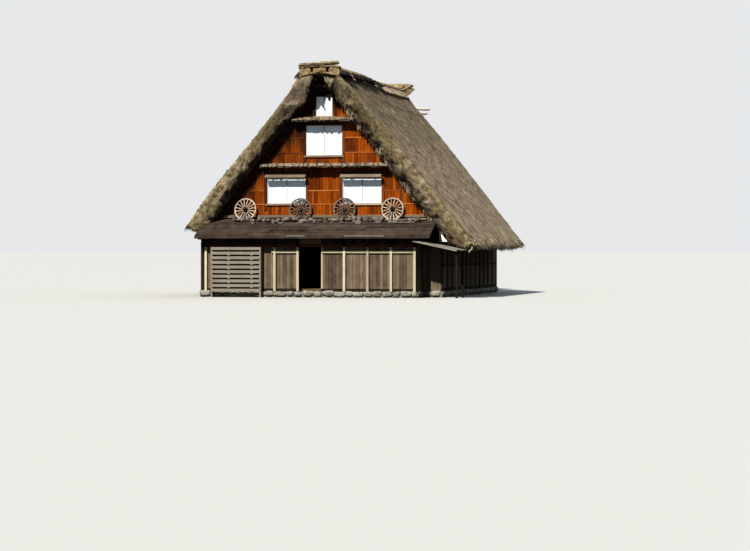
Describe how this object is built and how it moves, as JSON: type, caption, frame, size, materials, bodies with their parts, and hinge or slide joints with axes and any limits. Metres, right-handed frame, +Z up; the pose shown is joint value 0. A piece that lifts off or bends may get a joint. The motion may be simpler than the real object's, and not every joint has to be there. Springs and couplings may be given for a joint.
{
  "type": "thatched minka farmhouse",
  "caption": "Gassho-style thatched farmhouse: steep straw roof over boarded gables with paper windows, skirt roofs, leaning cart wheels and a small corner lean-to.",
  "frame": {"origin": "on the ground under the stone base, below the ridge, half way between the two gable walls", "axes": "+Z up, -Y towards the front gable, +X to the right seen from the front, Y along the ridge"},
  "size_m": [12.7782, 16.08, 10.2106],
  "materials": {
    "field_stone": "rough grey field stone and packed earth",
    "floor_boards": "worn boards",
    "dark_wood": "smoke-dark old timber",
    "gable_boards": "weathered orange-brown boards",
    "shoji_paper": "white paper on thin wooden bars",
    "grey_bark": "grey bark and split boards",
    "skirt_boards": "dark brown lapped boards",
    "old_thatch": "grey-brown straw thatch with moss",
    "ridge_thatch": "tan straw thatch",
    "pale_wheel_wood": "pale grey weathered wood",
    "dark_wheel_wood": "dark weathered wood",
    "pale_boards": "pale sun-bleached boards"
  },
  "bodies": {
    "root": {"attic_floor_lower": "floor_boards", "attic_floor_middle": "floor_boards", "attic_floor_upper": "floor_boards", "back_wall": "dark_wood", "board_screen": "pale_boards", "cart_wheel_1": "pale_wheel_wood", "cart_wheel_2": "dark_wheel_wood", "cart_wheel_3": "dark_wheel_wood", "cart_wheel_4": "pale_wheel_wood", "corner_wall": "dark_wood", "eave_beam_left": "dark_wood", "eave_beam_right": "dark_wood", "front_lintel": "dark_wood", "front_wall_left": "dark_wood", "front_wall_right": "dark_wood", "gable_back_lower": "gable_boards", "gable_back_middle": "gable_boards", "gable_back_upper": "gable_boards", "gable_front_lower": "gable_boards", "gable_front_middle": "gable_boards", "gable_front_upper": "gable_boards", "ground_floor": "floor_boards", "lean_to_roof": "grey_bark", "left_wall": "dark_wood", "pent_roof_back_lower": "grey_bark", "pent_roof_back_upper": "grey_bark", "pent_roof_front_lower": "grey_bark", "pent_roof_front_upper": "grey_bark", "rafters_back": "dark_wood", "rafters_front": "dark_wood", "ridge_cap": "ridge_thatch", "ridge_roll": "ridge_thatch", "right_wall": "dark_wood", "shoji_back_lower_left": "shoji_paper", "shoji_back_lower_right": "shoji_paper", "shoji_back_middle": "shoji_paper", "shoji_back_upper": "shoji_paper", "shoji_front_lower_left": "shoji_paper", "shoji_front_lower_right": "shoji_paper", "shoji_front_middle": "shoji_paper", "shoji_front_upper": "shoji_paper", "skirt_roof_back": "skirt_boards", "skirt_roof_front": "skirt_boards", "stone_base": "field_stone", "thatch_left": "old_thatch", "thatch_right": "old_thatch"}
  },
  "joints": []
}
